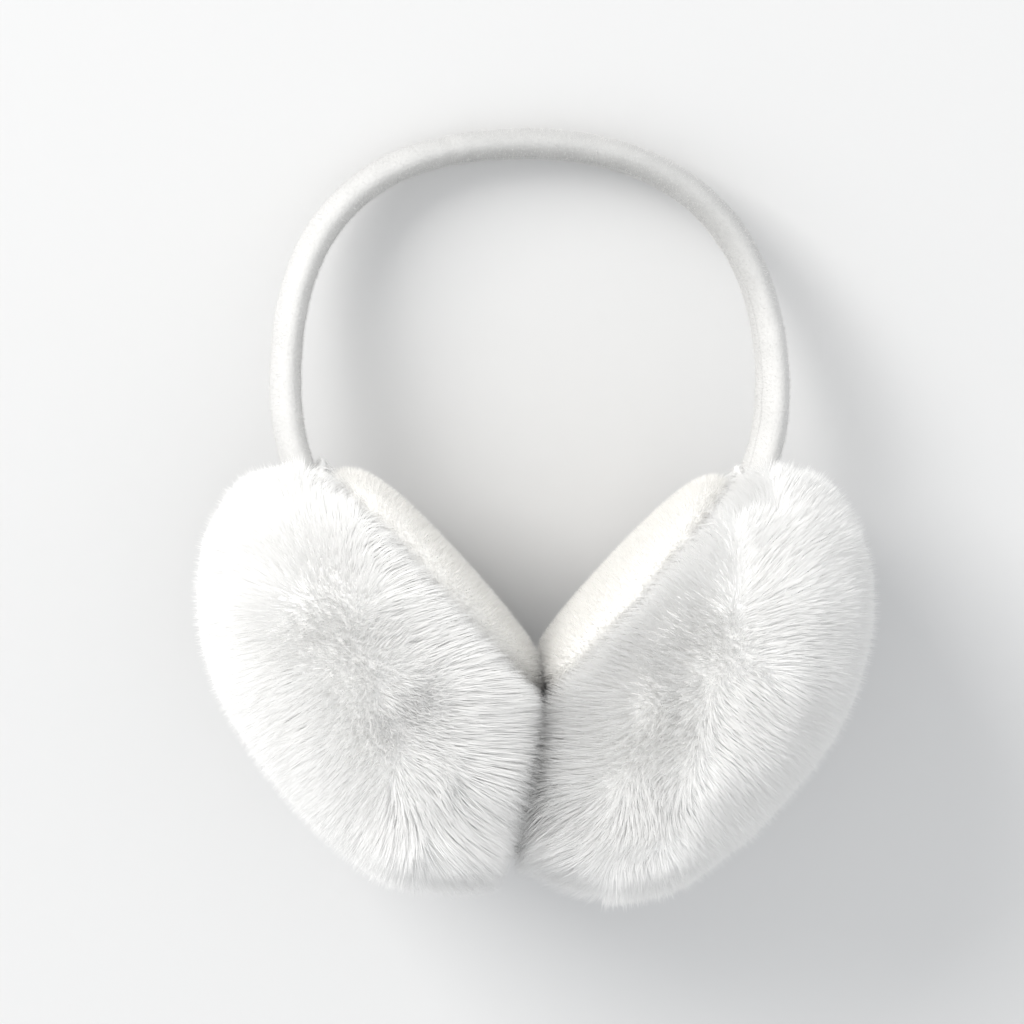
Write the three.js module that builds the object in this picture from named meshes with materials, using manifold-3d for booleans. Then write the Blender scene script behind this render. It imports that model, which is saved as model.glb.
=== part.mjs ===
// Fur earmuffs: a padded velvet headband on two deep-fur ear pads, lying as they rest on a table.
// Each ear pad is an outer puff of long fur over a backing, and a short-pile cushion that meets the ear.
// Units are millimetres. Everything is shaped in the headband's own frame: X runs from the left ear to the
// right one, Y to the crown of the arch, Z to the side that is seen from above. The last lines turn it so
// that +Z is up, with the crown and the rims of both pads on the table.
import * as THREE from "three";
import { mergeVertices } from "three/addons/utils/BufferGeometryUtils.js";
import Module from "manifold-3d";

const wasm = await Module();
wasm.setup();

// Headband sleeve: velvet round a padded spring strip, bent to an arch
const archRadius = 62.6; // middle of the arch to the middle of the sleeve at the crown
const leftShoulderBulge = 4.4; // how far the arch stands outside that circle half way down each side
const rightShoulderBulge = 2.8;
const entryAngle = 107.4; // from the crown to where the sleeve goes into a pad, in degrees
const sewnInLength = 22; // sleeve hidden in each pad
const sleeveThickness = 8;
const sleeveWidth = 15;

// Ear pads: long way from band to tip, depth from front to back, thickness from outer fur to the ear
const padLength = 122;
const padDepth = 118;
const outerFurHeight = 38.5; // middle of a pad to the tips of its outer fur
const rimCurveHeight = 58; // how slowly the fur rounds in again towards the ear
const seamHeight = 25; // middle of a pad to the seam where the ear cushion is sewn on
const padTilt = 34; // long axis from the vertical, in degrees, tips drawn together
const seamLean = 42; // seam plane from the vertical, in degrees
const furProud = 4.5; // how far the locks stand out of the backing
const cushionRadius = 43;
const cushionHeight = 10;
const cushionRise = 6; // cushion's centre from the pad's, towards the band

// Where the pads press on each other and on the table
const contactLean = 10.3; // plane between the pads from the vertical, in degrees
const contactShift = 1.7; // the same plane from half way between the pads' middles
const furFlattening = 6; // depth of fur pressed flat on the table
const pieceGap = 0.3; // air between pieces that lie on each other

// Locks of fur
const lockCount = 74; // on each pad
const lockRadius = 9.4;
const lockRootDepth = 6;
const lockLean = 0.75; // sideways share of a lock's direction, away from the middle of the fur
const lockCurl = 3; // how far a tip curls on the same way

const degrees = Math.PI / 180;
const sleeveStations = 54;
const sleeveCorners = 6;

// Soft pads differ a little. Tilt, length, height, seam and cushion are shares of the sizes above, and the
// sleeve goes in at shares of the pad's half length and of its outer fur's height.
const pads = [
  { name: "left", side: -1, tilt: 1.01, length: 0.98, height: 1, seam: 0.84, cushion: 1.35, entryLong: 0.92, entryHigh: 0.33 },
  { name: "right", side: 1, tilt: 0.95, length: 0.99, height: 1.01, seam: 0.97, cushion: 1.05, entryLong: 0.92, entryHigh: 0.37 },
];

// How the sleeve turns about its own line, from the left end to the right one
const sleeveTwists = [
  { along: 0, twist: -10 },
  { along: 0.3, twist: -8 },
  { along: 0.5, twist: -2 },
  { along: 0.75, twist: 8 },
  { along: 0.9, twist: 16 },
  { along: 1, twist: 22 },
];

function smooth(share) {
  const held = Math.min(Math.max(share, 0), 1);
  return held * held * (3 - 2 * held);
}

function twistAt(along) {
  const next = sleeveTwists.findIndex((row) => row.along >= along);
  if (next <= 0) return sleeveTwists[0].twist * degrees;
  const from = sleeveTwists[next - 1];
  const to = sleeveTwists[next];
  const share = smooth((along - from.along) / (to.along - from.along));
  return (from.twist + (to.twist - from.twist) * share) * degrees;
}

// A three.js geometry with each vertex moved, as a closed solid whose faces point out
function solidOf(geometry, place) {
  geometry.deleteAttribute("normal");
  geometry.deleteAttribute("uv");
  const merged = mergeVertices(geometry, 1e-4);
  const corners = merged.getAttribute("position");
  const vertProperties = new Float32Array(corners.count * 3);
  for (let i = 0; i < corners.count; i++) {
    place(new THREE.Vector3().fromBufferAttribute(corners, i)).toArray(vertProperties, i * 3);
  }
  const triVerts = new Uint32Array(merged.index.array);
  const made = new wasm.Manifold(new wasm.Mesh({ numProp: 3, vertProperties, triVerts }));
  if (made.volume() > 0) return made;
  for (let i = 0; i < triVerts.length; i += 3) {
    [triVerts[i], triVerts[i + 1]] = [triVerts[i + 1], triVerts[i]];
  }
  return new wasm.Manifold(new wasm.Mesh({ numProp: 3, vertProperties, triVerts }));
}

// The line of the headband, at an angle from the crown that is negative on the left
function archPoint(angle) {
  const bulge = angle < 0 ? leftShoulderBulge : rightShoulderBulge;
  const inUpperHalf = Math.abs(angle) < Math.PI / 2;
  const radius = archRadius + (inUpperHalf ? bulge * Math.sin(2 * angle) ** 2 : 0);
  return new THREE.Vector3(radius * Math.sin(angle), radius * Math.cos(angle), 0);
}

// The sleeve, or with some growth the pocket that it sits in
function sleeveSolid(growth) {
  const endAngle = entryAngle * degrees + (sewnInLength + growth) / archRadius;
  const section = new THREE.Shape().absellipse(
    0, 0, sleeveWidth / 2 + growth, sleeveThickness / 2 + growth, 0, 2 * Math.PI);
  const straight = new THREE.ExtrudeGeometry(section, {
    depth: 1, steps: sleeveStations, curveSegments: sleeveCorners, bevelEnabled: false });
  return solidOf(straight, (corner) => {
    const angle = (2 * corner.z - 1) * endAngle;
    const step = 0.01;
    const along = archPoint(angle + step).sub(archPoint(angle - step)).normalize();
    const outward = new THREE.Vector3(-along.y, along.x, 0);
    const twist = twistAt(corner.z);
    const inTurn = corner.x * Math.cos(twist) - corner.y * Math.sin(twist);
    const outTurn = corner.x * Math.sin(twist) + corner.y * Math.cos(twist);
    return archPoint(angle).addScaledVector(outward, outTurn).setZ(inTurn);
  });
}

// A pad's own axes: long from the band to the tip, high from the ear to the outer fur, deep to the front
function padAxes(pad) {
  const tilt = padTilt * pad.tilt * degrees;
  const long = new THREE.Vector3(-pad.side * Math.sin(tilt), -Math.cos(tilt), 0);
  const high = new THREE.Vector3(pad.side * Math.cos(tilt), -Math.sin(tilt), 0);
  const halfLength = (padLength / 2) * pad.length;
  const furHeight = outerFurHeight * pad.height;
  const middle = archPoint(pad.side * entryAngle * degrees)
    .addScaledVector(long, pad.entryLong * halfLength)
    .addScaledVector(high, pad.entryHigh * furHeight);
  return { long, high, middle, halfLength, furHeight };
}

const leftMiddle = padAxes(pads[0]).middle;
const rightMiddle = padAxes(pads[1]).middle;
const contactNormal = new THREE.Vector3(Math.cos(contactLean * degrees), -Math.sin(contactLean * degrees), 0);
const contactPoint = leftMiddle.clone().add(rightMiddle).multiplyScalar(0.5).addScaledVector(contactNormal, contactShift);

// Distance of a point from the plane between the pads, positive on its own pad's side
function fromContact(pad, point) {
  return point.clone().sub(contactPoint).dot(contactNormal) * pad.side;
}

// A point of the fur's backing, along a direction from the middle of the pad. It is a soft-cornered
// ellipsoid, fuller towards the tip, and drawn in where the other pad presses on it.
function backingPoint(pad, axes, direction) {
  const heightHere = direction.y > 0 ? axes.furHeight : rimCurveHeight * pad.height;
  const fullness = 2.6 + 0.6 * direction.x;
  const sum =
    Math.abs(direction.x / (axes.halfLength - furProud)) ** fullness +
    Math.abs(direction.y / (heightHere - furProud)) ** fullness +
    Math.abs(direction.z / (padDepth / 2 - furProud)) ** fullness;
  const free = sum ** (-1 / fullness);
  const ray = padVector(axes, direction);
  const towardsOther = -ray.dot(contactNormal) * pad.side;
  const reach = fromContact(pad, axes.middle) - furProud / 4;
  const softness = 12;
  const blocked = towardsOther > 0.05 ? reach / towardsOther : Infinity;
  const radius = (free ** -softness + blocked ** -softness) ** (-1 / softness);
  return axes.middle.clone().addScaledVector(ray, radius);
}

function padVector(axes, local) {
  return new THREE.Vector3()
    .addScaledVector(axes.long, local.x)
    .addScaledVector(axes.high, local.y)
    .setZ(local.z);
}

// The seam plane, where the ear cushion is sewn on
function seamOf(pad, axes) {
  const tilt = (seamLean - padTilt * pad.tilt) * degrees;
  const long = axes.long.clone().multiplyScalar(Math.cos(tilt)).addScaledVector(axes.high, -Math.sin(tilt));
  const high = axes.high.clone().multiplyScalar(Math.cos(tilt)).addScaledVector(axes.long, Math.sin(tilt));
  const middle = axes.middle.clone().addScaledVector(axes.high, -seamHeight * pad.seam);
  return { long, high, middle };
}

// One lock: a blunt tuft with its root in the backing, leaning and curling away from the middle of the fur
function lockSolid(root, outward, sweep, leanShare) {
  const axis = outward.clone().addScaledVector(sweep, lockLean * leanShare).normalize();
  const across = new THREE.Vector3().crossVectors(axis, sweep).normalize();
  const flat = new THREE.Vector3().crossVectors(across, axis);
  const length = (lockRootDepth + furProud) / axis.dot(outward);
  const start = root.clone().addScaledVector(axis, -lockRootDepth / axis.dot(outward));
  return solidOf(new THREE.CylinderGeometry(0, 1, 1, 5, 2), (corner) => {
    const along = corner.y + 0.5;
    const taper = along < 1 ? (lockRadius * Math.sqrt(1 - along ** 2)) / (1 - along) : 0;
    return start.clone()
      .addScaledVector(axis, along * length)
      .addScaledVector(across, corner.x * taper)
      .addScaledVector(flat, corner.z * taper)
      .addScaledVector(sweep, lockCurl * leanShare * along ** 2);
  });
}

function locksOf(pad, axes) {
  const turn = Math.PI * (3 - Math.sqrt(5)); // the golden angle spreads them evenly
  const lastPolar = 110 * degrees; // past the widest part, so that the fur overhangs the cushion
  const at = (polar, around) => backingPoint(pad, axes, new THREE.Vector3(
    Math.sin(polar) * Math.cos(around), Math.cos(polar), Math.sin(polar) * Math.sin(around)));
  return Array.from({ length: lockCount }, (_, i) => {
    const polar = Math.acos(1 - ((i + 0.5) / lockCount) * (1 - Math.cos(lastPolar)));
    const around = i * turn;
    const root = at(polar, around);
    const step = 0.02;
    const sweep = at(polar + step, around).sub(at(polar - step, around)).normalize();
    const sideways = at(polar, around + step).sub(at(polar, around - step)).normalize();
    const outward = new THREE.Vector3().crossVectors(sweep, sideways).normalize();
    if (outward.dot(root.clone().sub(axes.middle)) < 0) outward.negate();
    return lockSolid(root, outward, sweep, Math.sin(polar) ** 0.5);
  });
}

function largestBody(solid) {
  return solid.decompose().reduce((a, b) => (b.volume() > a.volume() ? b : a));
}

// Keeps what lies on the side of a plane that its normal points to
function keepBeyond(solid, normal, point) {
  return solid.trimByPlane(normal.toArray(), normal.dot(point));
}

// Backing and locks as one body, cut where they meet the cushion, the sleeve and the other pad
function furSolid(pad, axes, cushion, pocket) {
  const seam = seamOf(pad, axes);
  const whole = solidOf(new THREE.SphereGeometry(1, 24, 14), (corner) => backingPoint(pad, axes, corner.normalize()));
  const backing = keepBeyond(whole, seam.high, seam.middle);
  const ownSide = contactNormal.clone().multiplyScalar(pad.side);
  const contactFace = contactPoint.clone().addScaledVector(ownSide, pieceGap / 2);
  const grown = wasm.Manifold.union([backing, ...locksOf(pad, axes)]).subtract(cushion).subtract(pocket);
  return keepBeyond(grown, ownSide, contactFace);
}

// The ear cushion, flat at the seam and crowned towards the ear, or with some growth the room that it takes
function cushionSolid(pad, axes, growth) {
  const seam = seamOf(pad, axes);
  const roundness = 0.7; // 1 is a plain half ellipse, and less is fuller at the edge
  const centre = seam.middle.clone().addScaledVector(seam.long, -cushionRise);
  const seamSide = growth - pieceGap;
  const profile = [new THREE.Vector2(0, seamSide)];
  const rings = 8;
  for (let i = 0; i <= rings; i++) {
    const angle = (i / rings) * (Math.PI / 2);
    const edge = i < rings ? Math.cos(angle) ** roundness : 0;
    const crown = Math.sin(angle) ** roundness;
    profile.push(new THREE.Vector2(
      (cushionRadius + growth) * edge, seamSide - (cushionHeight * pad.cushion + 2 * growth) * crown));
  }
  return solidOf(new THREE.LatheGeometry(profile, 34), (corner) => centre.clone()
    .addScaledVector(seam.long, corner.x)
    .addScaledVector(seam.high, corner.y)
    .setZ(corner.z));
}

// The tilt at which the crown and the pads' rims touch the table together, found by halving
function restOf(sleeve, furs) {
  const lowest = (solid, up) => {
    const { vertProperties, numVert, numProp } = solid.getMesh();
    let low = Infinity;
    for (let i = 0; i < numVert; i++) {
      low = Math.min(low, up.dot(new THREE.Vector3().fromArray(vertProperties, i * numProp)));
    }
    return low;
  };
  const upAt = (tilt) => new THREE.Vector3(0, -Math.sin(tilt), Math.cos(tilt));
  const tableAt = (up) => Math.max(...furs.map((fur) => lowest(fur, up))) + furFlattening;
  let flat = 0;
  let steep = 60 * degrees;
  for (let i = 0; i < 30; i++) {
    const middle = (flat + steep) / 2;
    const up = upAt(middle);
    if (lowest(sleeve, up) > tableAt(up)) flat = middle;
    else steep = middle;
  }
  const up = upAt(flat);
  return { tilt: flat, up, height: tableAt(up) };
}

const materials = {
  velvet: new THREE.MeshStandardMaterial({ color: 0xf1f0ed, roughness: 0.95, metalness: 0 }),
  fur: new THREE.MeshStandardMaterial({ color: 0xf4f3f1, roughness: 1, metalness: 0 }),
  plush: new THREE.MeshStandardMaterial({ color: 0xefede6, roughness: 1, metalness: 0 }),
};

function meshOf(name, solid, material) {
  const made = solid.getMesh();
  const geometry = new THREE.BufferGeometry();
  geometry.setAttribute("position", new THREE.BufferAttribute(new Float32Array(made.vertProperties), 3));
  geometry.setIndex(new THREE.BufferAttribute(new Uint32Array(made.triVerts), 1));
  geometry.computeVertexNormals();
  const mesh = new THREE.Mesh(geometry, material);
  mesh.name = name;
  return mesh;
}

const sleeve = sleeveSolid(0);
const pocket = sleeveSolid(pieceGap);
const furs = [];
const cushions = [];
for (const pad of pads) {
  const axes = padAxes(pad);
  const ownSide = contactNormal.clone().multiplyScalar(pad.side);
  const contactFace = contactPoint.clone().addScaledVector(ownSide, pieceGap / 2);
  furs.push(furSolid(pad, axes, cushionSolid(pad, axes, pieceGap), pocket));
  cushions.push(keepBeyond(cushionSolid(pad, axes, 0).subtract(pocket), ownSide, contactFace));
}

const rest = restOf(sleeve, furs);
const onTable = (solid) => largestBody(solid.trimByPlane(rest.up.toArray(), rest.height));

const earmuffs = new THREE.Group();
earmuffs.add(meshOf("headband", sleeve, materials.velvet));
pads.forEach((pad, i) => {
  earmuffs.add(meshOf(`outer_fur_${pad.name}`, onTable(furs[i]), materials.fur));
  earmuffs.add(meshOf(`ear_cushion_${pad.name}`, onTable(cushions[i]), materials.plush));
});

// Turned to lie on the table, with the origin under the middle of what it covers
earmuffs.rotation.x = -rest.tilt;
const lying = new THREE.Group();
lying.add(earmuffs);
lying.updateMatrixWorld(true);
const covered = new THREE.Box3().setFromObject(earmuffs, true).getCenter(new THREE.Vector3());
earmuffs.position.set(-covered.x, -covered.y, -rest.height);

export default lying;
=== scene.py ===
import math
import bpy
import numpy as np
from mathutils import Matrix, Vector, kdtree, noise


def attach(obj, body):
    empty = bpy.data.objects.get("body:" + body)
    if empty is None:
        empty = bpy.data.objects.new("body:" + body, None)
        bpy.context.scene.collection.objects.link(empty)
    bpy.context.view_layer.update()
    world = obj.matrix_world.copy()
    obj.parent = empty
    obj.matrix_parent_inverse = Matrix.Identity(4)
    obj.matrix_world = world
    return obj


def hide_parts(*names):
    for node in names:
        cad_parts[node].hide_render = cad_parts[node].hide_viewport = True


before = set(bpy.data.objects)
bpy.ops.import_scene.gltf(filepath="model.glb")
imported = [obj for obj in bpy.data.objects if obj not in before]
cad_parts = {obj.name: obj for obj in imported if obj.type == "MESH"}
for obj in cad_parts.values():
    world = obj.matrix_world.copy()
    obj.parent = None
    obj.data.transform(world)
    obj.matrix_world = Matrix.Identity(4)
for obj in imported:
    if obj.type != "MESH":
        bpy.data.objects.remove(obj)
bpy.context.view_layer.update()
rng = np.random.default_rng(26)

# The headband is a spring strip in thin padding, with a sleeve of soft white velvet sewn round it.
# It bends to an arch in one plane, which slopes from the pads down to the crown on the table. The arch's
# own plane gives the directions that the photograph is taken in.
arch_radius = 0.064
arch_steps = 90
sleeve_thickness = 0.008
swell_height = 0.00022
wrinkle_depth = 0.0007
wrinkle_width = 0.022
wrinkle_slant = 0.05
# Angles in radians: the wrinkle's place from the crown, and its and the seam's places round the sleeve.
wrinkle_at = -0.36
wrinkle_side = 0.9
seam_side = 2.35
velvet_white = (0.72, 0.715, 0.705)
# The darker velvet colour serves the random patches, the seam and the painted shade over the crown.
velvet_shade = (0.48, 0.48, 0.475)
velvet_relief = 0.0004


class Wire:
    """A socket that feeds others, so that shader maths reads as sums."""

    def __init__(self, tree, socket):
        self.tree, self.socket = tree, socket

    def node(self, kind, settings=(), **inputs):
        made = self.tree.nodes.new("ShaderNode" + kind)
        for key, value in dict(settings).items():
            setattr(made, key, value)
        for key, value in inputs.items():
            place = int(key[1:]) if key[0] == "n" and key[1:].isdigit() else key.replace("_", " ")
            if isinstance(value, Wire):
                self.tree.links.new(value.socket, made.inputs[place])
            else:
                made.inputs[place].default_value = value
        return made

    def maths(self, operation, a, b=0.0):
        made = self.node("Math", {"operation": operation}, n0=a, n1=b)
        return Wire(self.tree, made.outputs[0])

    def __add__(self, other):
        return self.maths("ADD", self, other)

    def __mul__(self, other):
        return self.maths("MULTIPLY", self, other)

    def __sub__(self, other):
        return self.maths("SUBTRACT", self, other)

    def __rsub__(self, other):
        return self.maths("SUBTRACT", other, self)

    def between(self, low, high):
        """0 below low, 1 above high, and straight between them."""
        made = self.node("MapRange", {"clamp": True}, Value=self, From_Min=low, From_Max=high)
        return Wire(self.tree, made.outputs[0])

    def colours(self, first, second):
        """The first colour where this is 0, the second where it is 1."""
        made = self.node("Mix", {"data_type": "RGBA"}, n0=self)
        made.inputs[6].default_value = (*first, 1)
        made.inputs[7].default_value = (*second, 1)
        return Wire(self.tree, made.outputs[2])


def finish_of(name, **settings):
    """A new material with its Principled shader's plain values, and its coordinates on the piece."""
    made = bpy.data.materials.new(name)
    made.use_nodes = True
    shader = made.node_tree.nodes["Principled BSDF"]
    for key, value in settings.items():
        shader.inputs[key.replace("_", " ")].default_value = value
    where = made.node_tree.nodes.new("ShaderNodeTexCoord").outputs["Object"]
    return made, shader, Wire(made.node_tree, where)


def cloudy(where, scale, detail=2.0):
    """Soft noise over the piece, between 0 and 1."""
    made = where.node("TexNoise", {}, Vector=where, Scale=scale, Detail=detail)
    return Wire(where.tree, made.outputs[0])


def bumped(shader, height, distance):
    made = height.node("Bump", {}, Height=height, Distance=distance, Strength=1.0)
    height.tree.links.new(made.outputs[0], shader.inputs["Normal"])


def select_only(piece):
    bpy.ops.object.select_all(action="DESELECT")
    piece.select_set(True)
    bpy.context.view_layer.objects.active = piece


def copy_of(node, name):
    """A new piece with a CAD node's form, its corners merged."""
    piece = bpy.data.objects.new(name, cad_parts[node].data.copy())
    bpy.context.scene.collection.objects.link(piece)
    piece.data.materials.clear()
    select_only(piece)
    bpy.ops.object.mode_set(mode="EDIT")
    bpy.ops.mesh.select_all(action="SELECT")
    bpy.ops.mesh.remove_doubles(threshold=1e-5)
    bpy.ops.mesh.tris_convert_to_quads()
    bpy.ops.object.mode_set(mode="OBJECT")
    return piece


def apply_modifier(piece, kind, **settings):
    select_only(piece)
    made = piece.modifiers.new(kind.lower(), kind)
    for key, value in settings.items():
        setattr(made, key, value)
    bpy.ops.object.modifier_apply(modifier=made.name)


def points_of(piece):
    found = np.empty(len(piece.data.vertices) * 3, np.float32)
    piece.data.vertices.foreach_get("co", found)
    return found.reshape(-1, 3).astype(float)


def facing_of(piece):
    """The way that a piece's surface faces at each point."""
    found = np.empty(len(piece.data.vertices) * 3, np.float32)
    piece.data.vertex_normals.foreach_get("vector", found)
    return found.reshape(-1, 3).astype(float)


def move_points(piece, points):
    piece.data.vertices.foreach_set("co", points.astype(np.float32).ravel())
    piece.data.update()


def unit(vectors):
    return vectors / np.maximum(np.linalg.norm(vectors, axis=-1, keepdims=True), 1e-9)


sleeve = copy_of("headband", "headband_sleeve")
sleeve_points = points_of(sleeve)
worn_right = np.array([1.0, 0.0, 0.0])
worn_front = np.linalg.eigh(np.cov((sleeve_points - sleeve_points.mean(0)).T))[1][:, 0]
worn_front = worn_front * np.sign(worn_front[2])
worn_front[0] = 0.0
worn_front = unit(worn_front)
worn_up = np.cross(worn_front, worn_right)
worn_axes = np.array([worn_right, worn_up, worn_front])
# The circle that fits the arch best gives its centre.
sleeve_worn = sleeve_points @ worn_axes.T
sums = np.column_stack([2 * sleeve_worn[:, :2], np.ones(len(sleeve_worn))])
circle = np.linalg.lstsq(sums, (sleeve_worn[:, :2] ** 2).sum(1), rcond=None)[0]
arch_centre = np.array([circle[0], circle[1], sleeve_worn[:, 2].mean()])

apply_modifier(sleeve, "SUBSURF", levels=2, render_levels=2)
# Each point's angle from the crown, its radius, its height above the arch's plane and its side of the sleeve.
from_centre = points_of(sleeve) @ worn_axes.T - arch_centre
height = from_centre[:, 2]
angle = np.arctan2(from_centre[:, 0], from_centre[:, 1])
radius = np.hypot(from_centre[:, 0], from_centre[:, 1])
steps = np.linspace(angle.min(), angle.max(), arch_steps)
nearest_step = np.abs(angle[:, None] - steps[None]).argmin(1)
middle_radius = np.array([radius[nearest_step == i].mean() for i in range(arch_steps)])
sleeve_around = np.arctan2(height, radius - np.interp(angle, steps, middle_radius))
swell = np.array([noise.noise(Vector((a * 9, math.cos(t) * 1.5, math.sin(t) * 1.5)))
                  for a, t in zip(angle, sleeve_around)])
from_wrinkle = angle - wrinkle_at - wrinkle_slant * height / sleeve_thickness
wrinkle = np.exp(-((from_wrinkle / wrinkle_width) ** 2)) * np.cos(sleeve_around - wrinkle_side).clip(0)
rise = swell * swell_height - wrinkle * wrinkle_depth
move_points(sleeve, points_of(sleeve) + facing_of(sleeve) * rise[:, None])

for key, values in (("along", angle * arch_radius), ("around", sleeve_around)):
    sleeve.data.attributes.new(key, "FLOAT", "POINT").data.foreach_set("value", values.astype(np.float32))

velvet, velvet_shader, place = finish_of(
    "white_velvet", Roughness=0.85, Sheen_Weight=0.35, Sheen_Roughness=0.4, Specular_IOR_Level=0.25)


def attribute_of(place, name):
    made = place.node("Attribute", {"attribute_type": "GEOMETRY", "attribute_name": name})
    return Wire(place.tree, made.outputs["Fac"])


along = attribute_of(place, "along")
around = attribute_of(place, "around")
to_seam = place.maths("ABSOLUTE", around - seam_side)
stitch_line = 1 - to_seam.between(0.03, 0.09)
pile = cloudy(place, 1400, 3)
patches = cloudy(place, 120, 2)
shade = (patches * 0.6 + pile * 0.4).between(0.3, 0.7)
# Painted shade: the velvet is coloured darker over the crown and the right shoulder, where less light falls
# on it.
painted_crown_shade = along.between(-0.07, -0.015) * (1 - along.between(0.06, 0.09))
velvet.node_tree.links.new(
    (shade * 0.25 + stitch_line * 0.12 + painted_crown_shade * 0.66).colours(velvet_white, velvet_shade).socket,
    velvet_shader.inputs["Base Color"])
bumped(velvet_shader, pile * 0.35 + patches * 0.5 - stitch_line * 0.35, velvet_relief)
sleeve.data.materials.append(velvet)
select_only(sleeve)
bpy.ops.object.shade_smooth()
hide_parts("headband")
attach(sleeve, "root")

# The velvet's nap is a short dense pile, less than a millimetre long. It softens the sleeve's edge and
# lets a little of the light through.
nap_length = 0.0008
nap_width = 0.00012
nap_count = 30000
nap_spread = 0.35
nap_colour = (0.76, 0.755, 0.745)
hair_glow = 0.3


def roots_on(piece, count):
    """Roots spread evenly over a piece, with the way that its surface faces at each."""
    mesh = piece.data
    mesh.calc_loop_triangles()
    corners = np.empty(len(mesh.loop_triangles) * 3, np.int32)
    mesh.loop_triangles.foreach_get("vertices", corners)
    corners = corners.reshape(-1, 3)
    points = points_of(piece)
    facing = facing_of(piece)
    a, b, c = points[corners[:, 0]], points[corners[:, 1]], points[corners[:, 2]]
    area = np.linalg.norm(np.cross(b - a, c - a), axis=1)
    # Even steps through the summed area, each with a little chance, leave no bare or crowded places.
    steps = (np.arange(count) + rng.random(count)) / count * area.sum()
    face = np.searchsorted(np.cumsum(area), steps).clip(0, len(area) - 1)
    u, v = rng.random(count), rng.random(count)
    over = u + v > 1
    u[over], v[over] = 1 - u[over], 1 - v[over]
    share = np.stack([1 - u - v, u, v], 1)[:, :, None]
    return (points[corners[face]] * share).sum(1), unit((facing[corners[face]] * share).sum(1))


def hair_piece(name, roots, tips, turned, width, material):
    """Hairs in one mesh, each one flat blade that narrows to its tip, with its flat side turned outwards."""
    count = len(roots)
    side = unit(np.cross(tips - roots, turned))
    half = side * (width * rng.uniform(0.7, 1.2, count) / 2)[:, None]
    points = np.stack([roots - half, roots + half, tips], 1)
    mesh = bpy.data.meshes.new(name)
    mesh.vertices.add(count * 3)
    mesh.vertices.foreach_set("co", points.astype(np.float32).ravel())
    mesh.loops.add(count * 3)
    mesh.loops.foreach_set("vertex_index", np.arange(count * 3, dtype=np.int32))
    mesh.polygons.add(count)
    mesh.polygons.foreach_set("loop_start", np.arange(count, dtype=np.int32) * 3)
    mesh.update(calc_edges=True)
    mesh.materials.append(material)
    piece = bpy.data.objects.new(name, mesh)
    bpy.context.scene.collection.objects.link(piece)
    return piece


def hair_finish(name, colour, through):
    """A material for hairs: dull, and letting a share of the light through."""
    made, shader, place = finish_of(name, Base_Color=(*colour, 1), Roughness=0.7, Specular_IOR_Level=0.2)
    glow = place.node("BsdfTranslucent", {}, Color=(*colour, 1))
    mixed = place.node("MixShader", {}, Fac=through)
    tree = made.node_tree
    tree.links.new(shader.outputs[0], mixed.inputs[1])
    tree.links.new(glow.outputs[0], mixed.inputs[2])
    tree.links.new(mixed.outputs[0], tree.nodes["Material Output"].inputs["Surface"])
    return made


nap_finish = hair_finish("velvet_nap", nap_colour, hair_glow)
roots, facing = roots_on(sleeve, nap_count)
lean = unit(facing + rng.normal(scale=nap_spread, size=roots.shape))
nap_tips = roots + lean * (nap_length * rng.uniform(0.5, 1.1, nap_count))[:, None]
nap_tips[:, 2] = nap_tips[:, 2].clip(0.0001)
nap = hair_piece("headband_nap", roots - facing * 0.0001, nap_tips, rng.normal(size=roots.shape),
                 nap_width, nap_finish)
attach(nap, "root")

# An ear cushion is a round pad of soft filling in a short-pile cover, sewn to the pad inside the long fur.
# The filling pushes the cover out to a low dome.
cushion_swell = 0.0015
cushion_scale = 0.97
dome_lowered = 0.3
cushion_voxel = 0.0035
cloth_frames = 20
pile_length = 0.0022
pile_width = 0.0002
pile_count = 40000
pile_spread = 0.28
plush_white = (0.93, 0.92, 0.90)
plush_ground_light = (0.92, 0.91, 0.89)
plush_ground_dark = (0.88, 0.87, 0.845)
plush_finish = hair_finish("short_pile", plush_white, hair_glow)
plush_ground, plush_shader, place = finish_of("short_pile_ground", Roughness=0.95, Specular_IOR_Level=0.1)
plush_ground.node_tree.links.new(
    cloudy(place, 300).between(0.35, 0.65).colours(plush_ground_light, plush_ground_dark).socket,
    plush_shader.inputs["Base Color"])
bumped(plush_shader, cloudy(place, 900, 3), 0.0008)


def swollen(piece, most):
    """The piece's cover as cloth, blown up by its filling, with no point moved further than most."""
    start, facing = points_of(piece), facing_of(piece)
    cloth = piece.modifiers.new("cover", "CLOTH")
    cloth.settings.quality = 5
    cloth.settings.mass = 0.15
    cloth.settings.use_pressure = True
    cloth.settings.uniform_pressure_force = 4
    cloth.settings.effector_weights.gravity = 0
    cloth.point_cache.frame_start, cloth.point_cache.frame_end = 1, cloth_frames
    for step in range(1, cloth_frames + 1):
        bpy.context.scene.frame_set(step)
    seen = piece.evaluated_get(bpy.context.evaluated_depsgraph_get())
    after = np.empty(len(seen.data.vertices) * 3, np.float32)
    seen.data.vertices.foreach_get("co", after)
    piece.modifiers.clear()
    bpy.context.scene.frame_set(1)
    moved = after.reshape(-1, 3) - start
    # The filling keeps the cover from drawing in.
    moved = moved - facing * (moved * facing).sum(1, keepdims=True).clip(max=0)
    far = np.linalg.norm(moved, axis=1, keepdims=True)
    move_points(piece, start + moved * np.minimum(1, most / np.maximum(far, 1e-9)))


def from_axis(points, middle, axis):
    """How far each point is from the line through the middle along the axis."""
    offset = points - middle
    return np.linalg.norm(offset - np.outer(offset @ axis, axis), axis=1)


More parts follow.
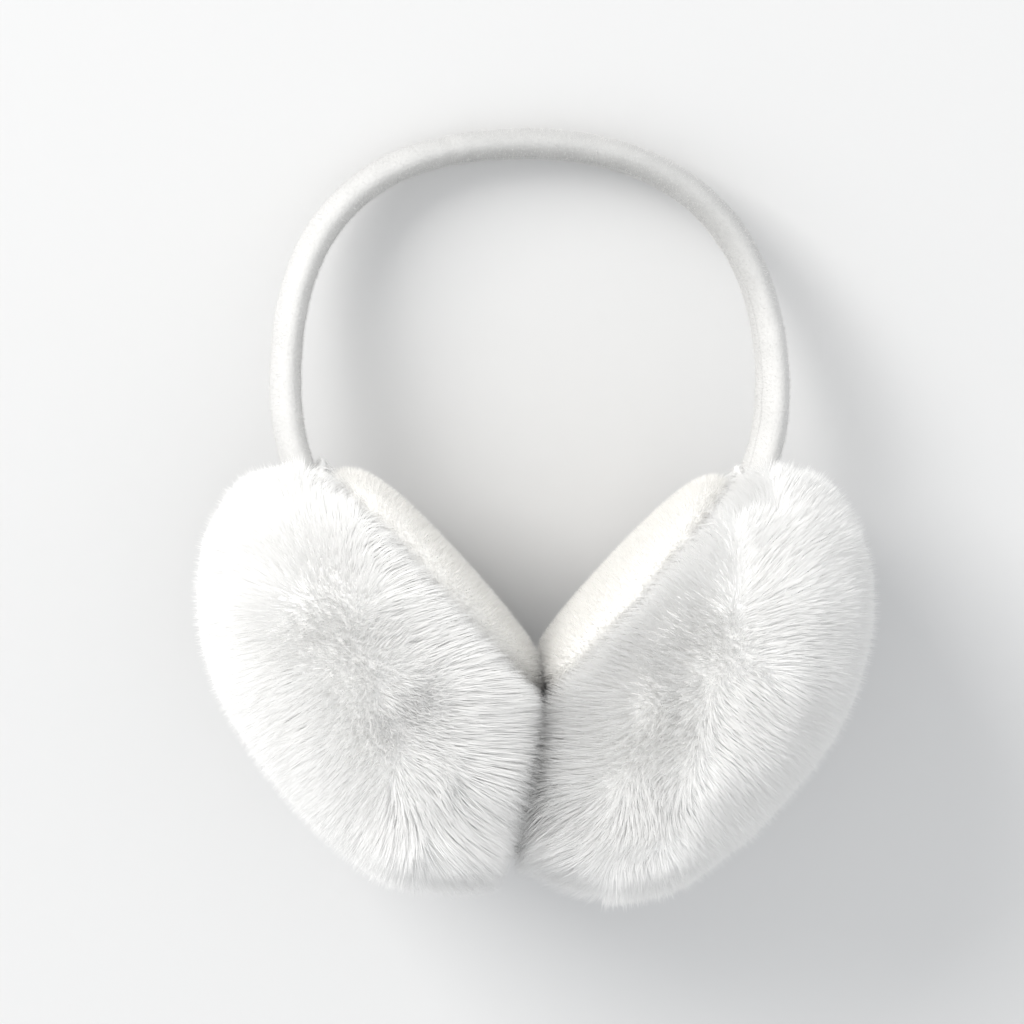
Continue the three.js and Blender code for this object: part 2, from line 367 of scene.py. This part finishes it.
cushions = {}
for side, inward in (("left", 1), ("right", -1)):
    ground = copy_of(f"ear_cushion_{side}", f"ear_cushion_{side}_cover")
    apply_modifier(ground, "REMESH", mode="VOXEL", voxel_size=cushion_voxel)
    apply_modifier(ground, "SMOOTH", factor=0.5, iterations=6)
    points = points_of(ground)
    middle = points.mean(0)
    to_ear = np.linalg.eigh(np.cov((points - middle).T))[1][:, 0]
    to_ear = to_ear * np.sign(to_ear[0]) * inward
    cushions[side] = (middle, to_ear, from_axis(points, middle, to_ear).max())
    points = middle + (points - middle) * cushion_scale
    dome = ((points - middle) @ to_ear).clip(0)
    move_points(ground, points - np.outer(dome * dome_lowered, to_ear))
    swollen(ground, cushion_swell)
    apply_modifier(ground, "SUBSURF", levels=1, render_levels=1)
    ground.data.materials.append(plush_ground)
    select_only(ground)
    bpy.ops.object.shade_smooth()
    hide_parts(f"ear_cushion_{side}")
    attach(ground, "root")

    roots, facing = roots_on(ground, pile_count)
    shown = facing @ to_ear > -0.35
    roots, facing = roots[shown], facing[shown]
    lean = unit(facing + rng.normal(scale=pile_spread, size=roots.shape))
    length = (pile_length * rng.uniform(0.7, 1.1, len(roots)))[:, None]
    hairs = hair_piece(f"ear_cushion_{side}_pile", roots - facing * 0.0003,
                       roots + (facing * 0.4 + lean * 0.6) * length, rng.normal(size=roots.shape),
                       pile_width, plush_finish)
    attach(hairs, "root")

# The outer fur of each pad is a long dense pile on a soft knitted ground, drawn over a padded round shell.
# The hairs lie away from a parting on the face of the pad, and gather in small tufts.
fur_white = (0.975, 0.972, 0.965)
fur_shade = (0.95, 0.947, 0.94)
fur_voxel = 0.003
fur_smoothing = 44
ground_depth = 0.0034
fur_height = 0.0040
fur_longest = 0.0095
fur_width = 0.00024
fur_count = 122000
tuft_count = 6000
face_tuft_pull = 0.13
rim_tuft_pull = 0.1
face_strays = 0.03
rim_strays = 0.12
stray_lean = 0.25
stray_length = 1.45
fur_lean = 0.65
parting_lean = 1.1
# How far the ground stays from the other pad and from the table, and how unevenly the hairs end there.
contact_clearance = 0.0012
table_clearance = 0.002
contact_give = (-0.003, 0.0003)
table_give = (0.0003, 0.0015)
crease_give = (0, 0.0035)
crease_depth = -0.0006
parting_dip = {"left": 0.0038, "right": 0.0062}
parting_reach = 0.022
ruffled_reach = 0.013
comb_reach = 0.026
meeting_reach = 0.008
meeting_rise = 0.7
meeting_lean = 0.3
meeting_length = 0.7
low_end_shift = {"left": 0.003, "right": -0.009}
low_end_start = 0.085
low_end_length = 0.046
dip_shift = {"left": (0.0045, -0.0050), "right": (-0.0020, -0.0045)}
band_dent = 0.001
band_dent_reach = 0.009
trimmed_share = 0.25
trim_from = 0.002
trim_reach = 0.006
# Each pad's pile parts along a short line, and lies away from it. The ends are places in the arch's plane.
parting = {
    "left": ((-0.0560, -0.0600), (-0.0345, -0.0930)),
    "right": ((0.0315, -0.0665), (0.0020, -0.0965)),
}
# The two pads press against each other in a plane that leans this much.
contact_lean = math.radians(10.3)
table_facing = np.array([0, 0, 1.0])
fur_finish = hair_finish("white_fur", fur_white, hair_glow)
fur_ground, ground_shader, place = finish_of("fur_ground", Roughness=0.95, Specular_IOR_Level=0.1)
fur_ground.node_tree.links.new(
    cloudy(place, 160).between(0.35, 0.65).colours(fur_white, fur_shade).socket,
    ground_shader.inputs["Base Color"])
bumped(ground_shader, cloudy(place, 700, 3), 0.001)

contact_normal = worn_right * math.cos(contact_lean) - worn_up * math.sin(contact_lean)
contact_at = np.mean([
    (points_of(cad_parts["outer_fur_left"]) @ contact_normal).max(),
    (points_of(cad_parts["outer_fur_right"]) @ contact_normal).min()])

sleeve_tree = kdtree.KDTree(len(sleeve.data.vertices))
for number, point in enumerate(points_of(sleeve)):
    sleeve_tree.insert(point, number)
sleeve_tree.balance()
sleeve_flat = points_of(sleeve) @ worn_axes.T


def kept_above(points, normal, floor, give):
    """Points pushed back to the side of a plane that its normal points to, each by its own small give."""
    deep = floor + give - points @ normal
    return points + np.outer(np.maximum(deep, 0), normal)


def from_parting(points, ends):
    """The way in the arch's plane from the nearest place of a parting to each point, and how far it is."""
    flat = (points @ worn_axes.T)[:, :2]
    # A small wave keeps the parting from looking ruled.
    flat = flat + 0.0025 * np.sin(flat[:, ::-1] * 260)
    first, last = (np.array(end) + [0, arch_centre[1]] for end in ends)
    share = ((flat - first) @ (last - first) / ((last - first) @ (last - first))).clip(0, 1)
    way = flat - first - share[:, None] * (last - first)
    return way @ worn_axes[:2], np.linalg.norm(way, axis=1)


for side, outward_sign in (("left", -1), ("right", 1)):
    ground = copy_of(f"outer_fur_{side}", f"outer_fur_{side}_ground")
    apply_modifier(ground, "REMESH", mode="VOXEL", voxel_size=fur_voxel)
    full = points_of(ground) @ worn_axes.T
    apply_modifier(ground, "SMOOTH", factor=0.5, iterations=fur_smoothing)
    # Smoothing draws the form in. It is let out again to the fur's own size, less the depth of the pile.
    points = points_of(ground) @ worn_axes.T
    low, top = full.min(0) + ground_depth, full.max(0) - ground_depth
    points = low + (points - points.min(0)) / np.ptp(points, axis=0) * (top - low)
    # The low ends of the two pads lean against each other.
    towards_end = ((arch_centre[1] - low_end_start - points[:, 1]) / low_end_length).clip(0, 1)
    points[:, 0] += low_end_shift[side] * towards_end ** 1.5
    # The headband's end presses a small dent into the top of the pile.
    own_half = sleeve_flat[sleeve_flat[:, 0] * outward_sign > 0.03]
    end_at = own_half[own_half[:, 1] < own_half[:, 1].min() + 0.01].mean(0)
    beside_end = np.exp(-(((points[:, 0] - end_at[0]) / band_dent_reach) ** 2))
    points[:, 1] -= band_dent * beside_end * ((points[:, 1] - end_at[1]) / 0.01).clip(0, 1)
    points = points @ worn_axes
    own_side = contact_normal * outward_sign
    at = contact_at * outward_sign
    points = kept_above(points, own_side, at, contact_clearance)
    points = kept_above(points, table_facing, 0.0, table_clearance)
    # On the side that faces up, the ground dips along the parting.
    upper = ((points @ worn_front - (points @ worn_front).mean()) / 0.02).clip(0, 1)
    shift = np.array(dip_shift[side]) @ worn_axes[:2]
    dip = upper * np.exp(-((from_parting(points - shift, parting[side])[1] / parting_reach) ** 2))
    points = points - worn_front * (parting_dip[side] * dip)[:, None]
    move_points(ground, points)
    cushion_middle, to_ear, cushion_radius = cushions[side]
    ground.data.materials.append(fur_ground)
    select_only(ground)
    bpy.ops.object.shade_smooth()
    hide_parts(f"outer_fur_{side}")
    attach(ground, "root")

    roots, facing = roots_on(ground, fur_count)
    # No hair grows where the ear cushion covers the ground.
    hidden = (facing @ to_ear > 0.6) & (from_axis(roots, cushion_middle, to_ear) < cushion_radius * 0.8)
    roots, facing = roots[~hidden], facing[~hidden]
    count = len(roots)
    comb, distance = from_parting(roots, parting[side])
    # The pile lies outwards on the face, down over the rim and inwards again on the back.
    comb = unit(comb)
    comb = comb * (facing @ worn_front)[:, None] - np.outer((comb * facing).sum(1), worn_front)
    comb = comb - (comb * facing).sum(1, keepdims=True) * facing
    comb = comb * (distance / comb_reach).clip(0, 1)[:, None] ** 1.4
    # Stray hairs stand up through the pile, mostly round the rim.
    stray = rng.random(count) < np.where(np.abs(facing @ worn_front) < 0.6, rim_strays, face_strays)
    upper = (facing @ worn_front * 2).clip(0, 1)
    ruffled = upper * np.exp(-((distance / ruffled_reach) ** 2))
    near = upper * np.exp(-((from_parting(roots - shift, parting[side])[1] / parting_reach) ** 2))
    leaning = (fur_lean + parting_lean * near) * np.where(stray, stray_lean, 1)
    grow = unit(facing + comb * leaning[:, None]
                + rng.normal(size=(count, 3)) * (0.06 + 0.05 * near)[:, None])
    length = (fur_height + parting_dip[side] * near) / (grow * facing).sum(1).clip(0.1, 1)
    length = np.minimum(length, fur_longest) * rng.uniform(0.9, 1.03, count) * (1 - 0.1 * ruffled)
    length = (length * np.where(stray, stray_length, 1))[:, None]
    # Where the two pads meet, the pile of each is pushed up and fills the groove between them.
    meeting = np.exp(-(((roots @ own_side - at) / meeting_reach) ** 2)) * upper
    grow = unit(grow + np.outer(meeting * meeting_rise, worn_front)
                - np.outer(meeting * meeting_lean, own_side))
    length = length * (1 + meeting_length * meeting)[:, None]
    # Round the headband's end the pile is trimmed short, so that the sleeve shows to where it is sewn in.
    to_sleeve = np.array([sleeve_tree.find(point)[2] for point in roots + grow * length * 0.6])
    untrimmed = ((to_sleeve - trim_from) / trim_reach).clip(0, 1)
    length = length * (trimmed_share + (1 - trimmed_share) * untrimmed)[:, None]
    tips = roots + grow * length
    # Each hair leans to the tuft that it stands nearest to.
    chosen = rng.choice(count, tuft_count, replace=False)
    tree = kdtree.KDTree(tuft_count)
    for number, place_of_tuft in enumerate(roots[chosen]):
        tree.insert(place_of_tuft, number)
    tree.balance()
    tuft = chosen[np.array([tree.find(point)[1] for point in roots])]
    pull = face_tuft_pull * (near - 0.8 * ruffled).clip(0, 1) + rim_tuft_pull * (1 - upper)
    tips = tips + (tips[tuft] - tips) * pull[:, None]
    # Fur fills the crease between the pads, and lies flat against the other pad and on the table.
    to_other = (tips @ own_side - at).clip(0, 0.01) * (-facing @ own_side).clip(0, 1) ** 0.5
    tips = tips - np.outer(to_other, own_side)
    tips = kept_above(tips, own_side, at, rng.uniform(*contact_give, count))
    tips = kept_above(tips, table_facing, 0.0, rng.uniform(*table_give, count))
    # At the ear cushion the fur is trimmed to a soft round edge.
    crease_at = -cushion_middle @ to_ear + crease_depth
    tips = kept_above(tips, -to_ear, crease_at, rng.uniform(*crease_give, count))
    # The pile is kept in two pieces, the lower and the upper half of the pad.
    order = np.argsort(roots @ worn_front)
    for part, half in (("lower", order[:count // 2]), ("upper", order[count // 2:])):
        uneven = 0.05 + 0.09 * np.maximum(near, 1 - upper)[half]
        turned = facing[half] + rng.normal(size=(len(half), 3)) * uneven[:, None]
        hairs = hair_piece(f"outer_fur_{side}_hair_{part}", roots[half], tips[half], turned,
                           fur_width, fur_finish)
        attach(hairs, "root")

# The table is a plain pale surface. A soft light at the upper left of the picture and a pale room light it.
bpy.ops.mesh.primitive_plane_add(size=6, location=(0, 0, 0))
table = bpy.context.object
table.name = "table"
pale, pale_shader, place = finish_of("pale_table", Base_Color=(0.77, 0.77, 0.77, 1), Roughness=0.9,
                                     Specular_IOR_Level=0.1)
table.data.materials.append(pale)

world = bpy.data.worlds.new("pale_room")
world.use_nodes = True
world.node_tree.nodes["Background"].inputs["Color"].default_value = (0.97, 0.985, 1.0, 1)
world.node_tree.nodes["Background"].inputs["Strength"].default_value = 0.82
bpy.context.scene.world = world
bpy.context.scene.view_settings.view_transform = "Standard"
bpy.context.scene.cycles.max_bounces = 4

key_towards = np.array((-0.58, 0.62, 0.53))
key_distance = 4.0
key_data = bpy.data.lights.new("key", "AREA")
key_data.size = 2.0
key_data.energy = 128
key_data.color = (1.0, 0.985, 0.96)
key = bpy.data.objects.new("key", key_data)
bpy.context.scene.collection.objects.link(key)
key.location = Vector(unit(key_towards) * key_distance)
key.rotation_euler = key.location.to_track_quat("Z", "Y").to_euler()

# The camera looks straight at the plane of the arch, from a little to the left, as in the photograph.
photo_scale = 3900  # pixels of the photograph to the metre
photo_size = 1024
crown_top_px = 128
band_middle_px = 530
camera_turn = math.radians(3)
camera_distance = 1.5
aim = np.array([
    (sleeve_worn[:, 0].min() + sleeve_worn[:, 0].max()) / 2 + (photo_size / 2 - band_middle_px) / photo_scale,
    sleeve_worn[:, 1].max() - (photo_size / 2 - crown_top_px) / photo_scale,
    sleeve_worn[:, 2].mean()]) @ worn_axes
back = worn_front * math.cos(camera_turn) - worn_right * math.sin(camera_turn)
camera_right = np.cross(worn_up, back)
camera_data = bpy.data.cameras.new("camera")
camera_data.lens = camera_data.sensor_width * camera_distance / (photo_size / photo_scale)
camera_data.clip_end = 50
camera = bpy.data.objects.new("camera", camera_data)
bpy.context.scene.collection.objects.link(camera)
turned = Matrix([(*row, 0) for row in np.array([camera_right, worn_up, back]).T] + [(0, 0, 0, 1)])
camera.matrix_world = Matrix.Translation(Vector(aim + back * camera_distance)) @ turned
bpy.context.scene.camera = camera
